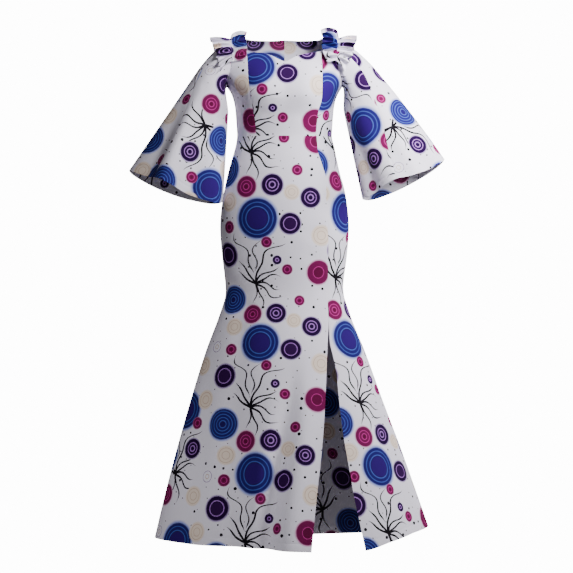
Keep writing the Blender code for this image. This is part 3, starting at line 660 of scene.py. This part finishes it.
# --- Bodice centre front --------------------------------------------------------------------------
# One panel of the same cotton between the two princess seams, cut down to a soft V at the neck and sewn
# to the straps of the side fronts and to the skirt at the waist.
RIGHT_PRINCESS = (
    # run, x
    (0.000, -0.111),
    (0.090, -0.109),
    (0.130, -0.106),
    (0.185, -0.103),
    (0.248, -0.094),
    (0.300, -0.085),
    (0.343, -0.081),
)
LEFT_PRINCESS = (
    (0.000, 0.104),
    (0.090, 0.106),
    (0.160, 0.109),
    (0.240, 0.107),
    (0.270, 0.098),
    (0.343, 0.090),
)
FRONT_CORNER_RUN = 0.090
FRONT_NECK = (
    # share across the panel, run of the neck's edge
    (0.0, FRONT_CORNER_RUN),
    (0.10, 0.094),
    (0.26, 0.098),
    (0.36, 0.107),
    (0.50, 0.127),
    (0.64, 0.108),
    (0.76, 0.100),
    (0.88, 0.095),
    (1.0, FRONT_CORNER_RUN),
)
CENTRE_ACROSS = 44
CENTRE_PLACE, CENTRE_TURN = (0.204, 0.216), 2.0


def front_neck(share):
    return piecewise(FRONT_NECK, share)


runs = steps(FRONT_CORNER_RUN, WAIST_RUN, 0.006) + WAIST_ROWS
edges = seam(RIGHT_PRINCESS), seam(LEFT_PRINCESS)
panel = tube_panel("centre_front", runs, spread(CENTRE_ACROSS), *edges, front_neck)
finish_sheet(panel, "bodice_centre_front", CENTRE_PLACE, CENTRE_TURN)

# --- Bodice side fronts ---------------------------------------------------------------------------
# Two narrow panels of the same cotton from the shoulder to the waist, each sewn to the centre front along
# a princess seam that shapes the bust, to the back at the shoulder and side, and to the sleeve.
SIDE_ACROSS = 14
SIDE_PLACES = {"right": ((0.274, 0.318), -6), "left": ((0.159, 0.012), 0)}

for name, sign, princess in (("right", -1, RIGHT_PRINCESS), ("left", 1, LEFT_PRINCESS)):
    edges = [seam(princess), side_edge(ARMHOLE_FRONT, sign, behind=False)]
    if sign < 0:
        edges.reverse()
    shares = spread(SIDE_ACROSS, (0.02, 0.05))
    panel = tube_panel(f"side_front_{name}", BODICE_RUNS, shares, *edges)
    place, turn = SIDE_PLACES[name]
    finish_sheet(panel, f"bodice_side_front_{name}", place, turn)

# --- Skirt front ----------------------------------------------------------------------------------
# Two panels of the same cotton sewn to the waist: a wide one across the front and a narrow one at the
# left side. The seam between them runs down to the knee and is left open below it as the slit.
SLIT_SEAM = (
    # run, x
    (0.343, 0.093),
    (0.382, 0.096),
    (0.420, 0.107),
    (0.459, 0.118),
    (0.504, 0.120),
    (0.573, 0.122),
    (0.640, 0.126),
    (0.768, 0.125),
    (0.842, 0.125),
)
SLIT_TOP_RUN = SLIT_SEAM[-1][0]
SLIT_MAIN_EDGE = (
    (0.842, 0.125),
    (0.882, 0.126),
    (0.957, 0.122),
    (1.052, 0.118),
    (1.127, 0.114),
    (1.182, 0.110),
    (1.267, 0.102),
    (1.322, 0.095),
    (1.407, 0.086),
    (1.517, 0.075),
)
SLIT_SIDE_EDGE = (
    (0.842, 0.126),
    (0.882, 0.127),
    (0.937, 0.130),
    (0.967, 0.137),
    (1.014, 0.147),
    (1.107, 0.156),
    (1.197, 0.167),
    (1.307, 0.186),
    (1.367, 0.196),
    (1.427, 0.209),
    (1.517, 0.228),
)
SKIRT_STEP = 0.0105
HEM_ROWS = [1.476, 1.4772, 1.478, 1.4788, 1.480, 1.490, 1.500]  # close together at the line of stitches
SKIRT_RUNS = [WAIST_RUN, WAIST_RUN + 0.0008, WAIST_RUN + 0.003]
SKIRT_RUNS += steps(WAIST_RUN + 0.008, HEM_ROWS[0], SKIRT_STEP) + HEM_ROWS
SKIRT_MAIN_ACROSS, SKIRT_SIDE_ACROSS = 54, 26
MAIN_PLACE, MAIN_TURN = (0.136, 0.053), -8.2
SIDE_PLACE, SIDE_TURN = (0.078, 0.042), 5.5


def slit_edge(free_edge):
    return lambda run: seam(SLIT_SEAM if run <= SLIT_TOP_RUN else free_edge)(run)


main_edges = fixed(-90), slit_edge(SLIT_MAIN_EDGE)
free = UNSEWN_BELOW, SLIT_TOP_RUN
shares = spread(SKIRT_MAIN_ACROSS)
panel = tube_panel("skirt_main", SKIRT_RUNS, shares, *main_edges, hem=True, free=free)
finish_sheet(panel, "skirt_front_main", MAIN_PLACE, MAIN_TURN)
side_edges = slit_edge(SLIT_SIDE_EDGE), fixed(90)
free = SLIT_TOP_RUN, UNSEWN_BELOW
shares = spread(SKIRT_SIDE_ACROSS, (0.01, 0.03))
panel = tube_panel("skirt_side", SKIRT_RUNS, shares, *side_edges, hem=True, free=free)
finish_sheet(panel, "skirt_front_side", SIDE_PLACE, SIDE_TURN)

# --- Skirt back -----------------------------------------------------------------------------------
# Two long panels of the same cotton joined down the middle of the back and to the front at the sides, cut
# to flare into a short sweep behind. Their inner faces, with the print on them, are seen in the slit.
SKIRT_BACK_ACROSS = 44
SKIRT_BACK_PLACES = {"right": (0.060, 0.120), "left": (0.508, 0.002)}

for name, first, last in (("left", 90, 180), ("right", -180, -90)):
    edges = fixed(first), fixed(last)
    panel = tube_panel(f"skirt_back_{name}_cloth", SKIRT_RUNS, spread(SKIRT_BACK_ACROSS), *edges, hem=True)
    finish_sheet(panel, f"skirt_back_{name}", SKIRT_BACK_PLACES[name])

# --- Sleeves --------------------------------------------------------------------------------------
# Two bell sleeves of the same cotton, each a single flared panel rolled into a tube, with its one seam
# running down the front, and sewn round the armhole. The open hems stand away from the arms.
SLEEVES = {
    # outer edge's top, inner edge's top, outer edge's hem, inner edge's hem: x and z of each
    "right": ((-0.205, -0.020), (-0.159, -0.150), (-0.448, -0.380), (-0.177, -0.470)),
    "left": ((0.204, -0.018), (0.159, -0.148), (0.461, -0.348), (0.224, -0.462)),
}
SLEEVE_BOW = {"right": 0.0, "left": 0.007}
CAP_END = 0.20  # share down the sleeve where its cap has turned into the plain oval
CAP_FALL, CAP_REACH_TOP, CAP_REACH_UNDER = 0.35, 0.085, 0.030
CAP_LOOK = 0.02  # share past the cap's end from which the slope there is found
CAP_SEAM = 0.03  # share down the sleeve over which its creases and dips begin
SLEEVE_DEPTH_TOP, SLEEVE_DEPTH_HEM, SLEEVE_FORWARD = 0.070, 0.104, 0.045
SLEEVE_LONG, SLEEVE_ROUND_TOP, SLEEVE_ROUND_HEM = 0.40, 0.075, 0.13  # its mean length and radii
SLEEVE_HEM_DROP = {
    # turn round the sleeve, how far the hem hangs below the plain oval there
    "right": (
        (0, 0.0), (45, 0.002), (75, -0.002), (110, 0.014), (145, 0.012),
        (180, 0.0), (225, 0.020), (270, 0.026), (315, 0.016), (360, 0.0),
    ),
    "left": (
        (0, 0.0), (45, 0.008), (80, 0.004), (103, -0.008), (145, 0.002),
        (180, 0.0), (225, 0.018), (270, 0.022), (315, 0.014), (360, 0.0),
    ),
}
SLEEVE_FOLDS = {
    # turn at the top, turn at the hem, half-width in degrees, depth at the hem
    "right": (
        (30, 45, 20, -0.020),
        (62, 74, 11, 0.020),
        (104, 112, 18, -0.012),
        (150, 148, 14, 0.008),
        (235, 240, 22, -0.015),
        (285, 285, 20, 0.012),
    ),
    "left": (
        (58, 50, 18, -0.010),
        (80, 76, 12, 0.006),
        (125, 104, 15, 0.012),
        (150, 140, 16, -0.013),
        (250, 245, 22, -0.014),
        (300, 296, 20, 0.011),
    ),
}
SLEEVE_FOLD_TOP = 0.12
SLEEVE_CREASES = {
    # turn and share down the sleeve where it starts, the same where it ends, half-width, depth
    "right": (
        (100, 0.06, 62, 0.24, 0.008, -0.0022),
        (128, 0.10, 98, 0.30, 0.008, -0.0020),
        (60, 0.04, 34, 0.18, 0.008, -0.0018),
        (262, 0.05, 290, 0.26, 0.009, -0.0020),
        (225, 0.10, 255, 0.30, 0.009, -0.0022),
    ),
    "left": (
        (104, 0.05, 70, 0.22, 0.008, -0.0022),
        (130, 0.09, 104, 0.28, 0.008, -0.0020),
        (140, 0.16, 122, 0.42, 0.010, -0.0016),
        (258, 0.05, 288, 0.24, 0.009, -0.0020),
        (228, 0.10, 252, 0.30, 0.009, -0.0022),
    ),
}
SLEEVE_SEAM = {
    # share down the sleeve, turn of its seam there
    "right": ((0.0, 14), (0.10, 22), (0.35, 48), (0.75, 64), (1.0, 62)),
    "left": ((0.0, 46), (0.10, 56), (0.30, 70), (0.70, 92), (1.0, 100)),
}
CAP_ROWS = (0.0, 0.03, 0.09, 0.18, 0.30, 0.44, 0.58, 0.72, 0.86)
SLEEVE_HEM_ROWS = [0.940, 0.943, 0.945, 0.947, 0.950, 0.975, 1.0]  # close together at the stitches
SLEEVE_STATIONS = [CAP_END * share for share in CAP_ROWS] + steps(CAP_END, SLEEVE_HEM_ROWS[0], 0.019)
SLEEVE_STATIONS += SLEEVE_HEM_ROWS
SLEEVE_AROUND = 96
SLEEVE_PLACES = {"right": ((0.276, 0.120), -180), "left": ((0.144, 0.354), 120)}


def armhole_ring(sign):
    """The armhole's edge as turn and point, from the shoulder down the front and up the back."""
    runs = steps(0.0, UNDERARM_RUN, 0.004) + [UNDERARM_RUN - 0.001, UNDERARM_RUN]
    front = side_edge(ARMHOLE_FRONT, sign, behind=False)
    back = side_edge(ARMHOLE_BACK, sign, behind=True)
    ring = [tube_point(front(run), run) for run in runs]
    ring += [tube_point(back(run), run) for run in reversed(runs[1:-1])]
    middle = (ring[0] + ring[len(runs) - 1]) / 2
    towards = (ring[0] - middle).normalized()
    turned = []
    for point in ring:
        away = point - middle
        turned.append((math.degrees(math.atan2(-away.y, away.dot(towards))) % 360, point))
    turned.sort(key=lambda pair: pair[0])
    return [(turned[-1][0] - 360, turned[-1][1])] + turned + [(turned[0][0] + 360, turned[0][1])]


def ring_point(ring, turn):
    turn %= 360
    i = next(k for k in range(len(ring) - 1) if turn <= ring[k + 1][0])
    return ring[i][1].lerp(ring[i + 1][1], (turn - ring[i][0]) / (ring[i + 1][0] - ring[i][0]))


def sleeve_oval(name, sign, station, turn):
    """The sleeve below its cap: an oval between its outer and inner edges, with its folds."""
    outer_top, inner_top, outer_hem, inner_hem = [Vector((x, 0, z)) for x, z in SLEEVES[name]]
    high, low = outer_top.lerp(outer_hem, station), inner_top.lerp(inner_hem, station)
    high += Vector((sign, 0, 1)).normalized() * SLEEVE_BOW[name] * 4 * station * (1 - station)
    half = (high - low) / 2
    angle = math.radians(turn)
    along = half * math.cos(angle)
    out = Vector((0, -1, 0)) * lerp(SLEEVE_DEPTH_TOP, SLEEVE_DEPTH_HEM, station) * math.sin(angle)
    push = 0.0
    for top_turn, hem_turn, half_width, depth in SLEEVE_FOLDS[name]:
        away = half_turn(turn - lerp(top_turn, hem_turn, station))
        push += depth * smooth((station - SLEEVE_FOLD_TOP) / (1 - SLEEVE_FOLD_TOP)) * bell(away, half_width)
    point = (high + low) / 2 + along + out + (along + out).normalized() * push
    point.y -= SLEEVE_FORWARD * station
    drop = table_at(SLEEVE_HEM_DROP[name], turn % 360) * station**3
    return point + (outer_hem - outer_top + inner_hem - inner_top).normalized() * drop


def sleeve_point(name, sign, ring, station, turn):
    if station >= CAP_END:
        point = sleeve_oval(name, sign, station, turn)
    else:
        share = station / CAP_END
        start, goal = ring_point(ring, turn), sleeve_oval(name, sign, CAP_END, turn)
        reach = lerp(CAP_REACH_UNDER, CAP_REACH_TOP, (1 + math.cos(math.radians(turn))) / 2)
        leave = Vector((sign, 0, -CAP_FALL)) * reach
        arrive = (sleeve_oval(name, sign, CAP_END + CAP_LOOK, turn) - goal) * CAP_END / CAP_LOOK
        point = glide(start, goal, leave, arrive, share)
    middle = sleeve_oval(name, sign, max(station, CAP_END), turn + 180).lerp(point, 0.5)
    away = (point - middle).normalized()
    metres_a_degree = math.radians(lerp(SLEEVE_ROUND_TOP, SLEEVE_ROUND_HEM, station))
    push = crease_depth(SLEEVE_CREASES[name], turn, station, metres_a_degree, SLEEVE_LONG)
    near = half_turn(turn - table_at(SLEEVE_SEAM[name], station)) * metres_a_degree
    push -= SEAM_DIP * bell(near, SEAM_DIP_WIDE)
    push -= HEM_DIP * bell((1 - station) * SLEEVE_LONG - HEM_DEEP, HEM_DIP_WIDE)
    return point + away * push * smooth(station / CAP_SEAM)


for name, sign in (("right", -1), ("left", 1)):
    ring = armhole_ring(sign)
    rows = []
    for station in SLEEVE_STATIONS:
        start = table_at(SLEEVE_SEAM[name], station)
        turns = [start - sign * 360 * share for share in spread(SLEEVE_AROUND, (0.002, 0.005))]
        rows.append([sleeve_point(name, sign, ring, station, turn) for turn in turns])
    panel = sheet_from(f"bell_sleeve_{name}", rows)
    place, turn = SLEEVE_PLACES[name]
    finish_sheet(panel, f"sleeve_{name}", place, turn)

# --- Shoulder ruffles -----------------------------------------------------------------------------
# A strip of the same cotton over each strap, gathered into loose pleats and stitched down along its
# middle, so that both of its edges stand free. The pleats fold down the front and down the back.
RUFFLE_RUN, RUFFLE_X_TOP, RUFFLE_X_END = 0.124, 0.156, 0.145  # where its stitching runs
RUFFLE_CLEAR = 0.0030  # how far the stitching lies above the strap
RUFFLE_THICK = 0.0006
RUFFLE_WIDTHS = {"right": (0.059, 0.046), "left": (0.052, 0.047)}  # outside and inside the stitching
RUFFLE_RISE = (
    # place from the front end to the back end, degrees at which the outer and the inner side stand off
    (-1.00, 12, 4),
    (-0.50, 9, 5),
    (-0.20, 5, 8),
    (0.00, 3, 6),
    (0.20, 5, 8),
    (0.50, 14, 5),
    (1.00, 24, 2),
)
RUFFLE_PLEATS = {
    # place of each crest, its height at the outer and at the inner edge, how far those edges are drawn
    # towards the back, share of the full width outside and inside
    "right": (
        (-1.00, 0.020, 0.001, -0.030, -0.002, 0.62, 0.92),
        (-0.88, 0.021, 0.002, -0.019, -0.003, 0.70, 0.96),
        (-0.75, 0.018, 0.001, -0.010, -0.002, 0.76, 0.99),
        (-0.61, 0.022, 0.002, -0.005, 0.000, 0.82, 0.97),
        (-0.46, 0.019, 0.004, -0.002, 0.001, 0.90, 0.95),
        (-0.29, 0.016, 0.008, 0.002, 0.002, 0.97, 0.93),
        (-0.06, 0.012, 0.011, 0.000, 0.003, 1.02, 1.08),
        (0.17, 0.010, 0.014, 0.002, 0.003, 0.94, 0.90),
        (0.35, 0.011, 0.010, 0.004, 0.002, 0.97, 0.95),
        (0.51, 0.012, 0.009, 0.005, 0.003, 0.93, 0.93),
        (0.67, 0.011, 0.010, 0.008, 0.004, 0.95, 0.97),
        (0.84, 0.013, 0.009, 0.012, 0.006, 0.88, 0.92),
        (1.00, 0.012, 0.010, 0.018, 0.010, 0.84, 0.90),
    ),
    "left": (
        (-1.00, 0.016, 0.012, -0.028, -0.012, 0.50, 0.62),
        (-0.87, 0.018, 0.014, -0.012, -0.010, 0.70, 0.86),
        (-0.74, 0.016, 0.012, -0.004, -0.007, 0.84, 0.98),
        (-0.60, 0.020, 0.014, 0.000, -0.002, 0.92, 1.00),
        (-0.45, 0.019, 0.012, 0.002, 0.000, 0.98, 0.99),
        (-0.28, 0.014, 0.013, 0.002, 0.002, 1.02, 0.99),
        (-0.05, 0.016, 0.016, 0.000, 0.003, 1.02, 1.18),
        (0.18, 0.010, 0.014, 0.002, 0.003, 0.94, 0.90),
        (0.36, 0.010, 0.010, 0.003, 0.002, 0.98, 0.96),
        (0.52, 0.012, 0.010, 0.006, 0.003, 0.94, 0.93),
        (0.68, 0.011, 0.009, 0.008, 0.005, 0.96, 0.96),
        (0.84, 0.012, 0.010, 0.013, 0.007, 0.90, 0.93),
        (1.00, 0.012, 0.010, 0.018, 0.011, 0.84, 0.90),
    ),
}
RUFFLE_PUFF = (0.9, 4.0)  # outside and inside, how much fuller a pleat is by the stitching than at its edge
RUFFLE_STEPS = 20  # rows of points a pleat
RUFFLE_OVERLAP = 3.0  # how far each pleat lies over the next
RUFFLE_UNDERCUT, RUFFLE_TURN_OVER = 1.38, 7.0  # pleats lean forwards in front and backwards behind
RUFFLE_HELD, RUFFLE_GROWTH = 0.08, 0.80  # share of a pleat's height at the stitching, power of its growth
RUFFLE_CORD_HIGH, RUFFLE_CORD_WIDE = 0.0030, 0.0017  # the raised line of the stitched gathers
RUFFLE_PULL, RUFFLE_LEFT = 0.35, 0.2  # how much of its width a standing pleat gives up, and keeps at least
RUFFLE_DRAWN = 1.5  # power by which the drawn edges' lean grows outwards
RUFFLE_LOOK, NORMAL_RUN, NORMAL_TURN = 0.04, 0.002, 0.6  # how far to each side slopes are measured
RUFFLE_SHARES = (0.03, 0.06, 0.10, 0.15, 0.22, 0.31, 0.42, 0.54, 0.66, 0.78, 0.89, 1.0)
RUFFLE_PLACES = {"right": ((0.186, 0.324), -168), "left": ((0.114, 0.135), 0)}


def tube_normal(bearing, run):
    low, high = max(run - NORMAL_RUN, 0.0), run + NORMAL_RUN
    across = tube_point(bearing + NORMAL_TURN, run) - tube_point(bearing - NORMAL_TURN, run)
    return (tube_point(bearing, high) - tube_point(bearing, low)).cross(across).normalized()


def ruffle_stitching(place, sign):
    run = abs(place) * RUFFLE_RUN
    x = sign * lerp(RUFFLE_X_TOP, RUFFLE_X_END, abs(place))
    bearing = bearing_at(x, run, behind=place > 0)
    return tube_point(bearing, run), tube_normal(bearing, run)


def ruffle_row(count, pleats, name, sign, shares):
    """One row of points across the strip. count is how many pleats lie between it and the front end."""
    place = table_at(pleats, count, 1)
    pitch = (table_at(pleats, count + 0.5, 1) - table_at(pleats, count - 0.5, 1)) * RUFFLE_RUN
    point, normal = ruffle_stitching(place, sign)
    before = ruffle_stitching(max(place - RUFFLE_LOOK, -1), sign)[0]
    after = ruffle_stitching(min(place + RUFFLE_LOOK, 1), sign)[0]
    along = (after - before).normalized()
    normal = (normal - along * normal.dot(along)).normalized()
    across = along.cross(normal) * sign
    undercut = RUFFLE_UNDERCUT * math.tanh(RUFFLE_TURN_OVER * place)
    folded = -pitch * RUFFLE_OVERLAP / math.tau * math.sin(math.tau * count - undercut)
    crest = 0.5 + 0.5 * math.cos(math.tau * count)
    row = []
    for share in shares:
        reach, side = abs(share), 0 if share > 0 else 1
        width = RUFFLE_WIDTHS[name][side] * table_at(pleats, count, 6 + side)
        angle = math.radians(table_at(RUFFLE_RISE, place, 1 + side))
        grown = RUFFLE_HELD + (1 - RUFFLE_HELD) * reach**RUFFLE_GROWTH
        puffed = 1 + RUFFLE_PUFF[side] * (1 - reach)
        pleat = table_at(pleats, count, 2 + side) * grown * puffed * crest
        height = RUFFLE_CLEAR + reach * width * math.sin(angle) + pleat
        height += RUFFLE_CORD_HIGH * bell(reach * width, RUFFLE_CORD_WIDE)
        out = reach * width * math.cos(angle)
        out = math.sqrt(max(out**2 - RUFFLE_PULL * pleat**2, RUFFLE_LEFT * out**2))
        drawn = folded * grown + table_at(pleats, count, 4 + side) * reach**RUFFLE_DRAWN
        row.append(point + across * math.copysign(out, share) + normal * height + along * drawn)
    return row


for name, sign in (("right", -1), ("left", 1)):
    pleats = [(i, *row) for i, row in enumerate(RUFFLE_PLEATS[name])]
    shares = [-share for share in reversed(RUFFLE_SHARES)] + [0.0] + list(RUFFLE_SHARES)
    rows = [
        ruffle_row(i / RUFFLE_STEPS, pleats, name, sign, shares)
        for i in range((len(pleats) - 1) * RUFFLE_STEPS + 1)
    ]
    if sign < 0:
        rows = [list(reversed(row)) for row in rows]
    rows.reverse()
    panel = sheet_from(f"shoulder_ruffle_{name}", rows)
    place, turn = RUFFLE_PLACES[name]
    finish_sheet(panel, f"ruffle_{name}", place, turn, RUFFLE_THICK)

# --- Studio ---------------------------------------------------------------------------------------
# A white floor under a white dome, soft lamps from the front and the left of the dress, a weak one low down
# at its right and one behind, and a camera in front.
FLOOR_Z = -1.512
DOME_RADIUS, DOME_GLOW = 30.0, 14.0
WORLD_GLOW = 0.15
LAMPS = (
    # name, place, point it faces, size, watts, degrees it spreads over
    ("key_lamp", (0.62, -1.10, 0.42), (1.20, 0.10, 0.65), 0.4, 84, 180),
    ("side_lamp", (3.10, -0.70, 0.70), (0.40, 0, 0.00), 1.2, 135, 180),
    ("low_lamp", (-0.80, -1.00, -1.30), (-0.08, 0, -1.25), 0.4, 0.70, 75),
    ("back_lamp", (0.6, 2.6, 0.8), (0, 0, -0.6), 1.5, 70, 180),
)
CAMERA_PLACE, CAMERA_LENS, CAMERA_SENSOR = (0.0058, -7.0, -0.715), 151.6, 36

bpy.ops.object.select_all(action="DESELECT")
bpy.ops.mesh.primitive_uv_sphere_add(segments=48, ring_count=24, radius=DOME_RADIUS, location=(0, 0, 0))
dome = bpy.context.object
dome.name = "studio_dome"
bpy.ops.object.mode_set(mode="EDIT")
bpy.ops.mesh.select_all(action="SELECT")
bpy.ops.mesh.bisect(plane_co=(0, 0, FLOOR_Z), plane_no=(0, 0, 1), clear_inner=True, use_fill=True)
bpy.ops.mesh.select_all(action="SELECT")
bpy.ops.mesh.normals_make_consistent(inside=True)
bpy.ops.object.mode_set(mode="OBJECT")
white = bpy.data.materials.new("white_dome")
white.use_nodes = True
tree = white.node_tree
glow = tree.nodes.new("ShaderNodeEmission")
glow.inputs["Strength"].default_value = DOME_GLOW
tree.links.new(glow.outputs["Emission"], tree.nodes["Material Output"].inputs["Surface"])
dome.visible_diffuse = dome.visible_glossy = dome.visible_transmission = dome.visible_shadow = False
dome.data.materials.append(white)

world = bpy.data.worlds.new("studio")
bpy.context.scene.world = world
world.use_nodes = True
world.node_tree.nodes["Background"].inputs["Color"].default_value = (1, 1, 1, 1)
world.node_tree.nodes["Background"].inputs["Strength"].default_value = WORLD_GLOW

for name, place, aim, size, watts, spread_degrees in LAMPS:
    lamp = bpy.data.lights.new(name, "AREA")
    lamp.size, lamp.energy = size, watts
    lamp.spread = math.radians(spread_degrees)
    stand = bpy.data.objects.new(name, lamp)
    stand.location = place
    stand.rotation_euler = (Vector(aim) - Vector(place)).to_track_quat("-Z", "Y").to_euler()
    stand.visible_camera = False
    bpy.context.scene.collection.objects.link(stand)

camera = bpy.data.objects.new("camera", bpy.data.cameras.new("camera"))
camera.data.lens, camera.data.sensor_width = CAMERA_LENS, CAMERA_SENSOR
camera.location = CAMERA_PLACE
camera.rotation_euler = (math.radians(90), 0, 0)
bpy.context.scene.collection.objects.link(camera)
bpy.context.scene.camera = camera
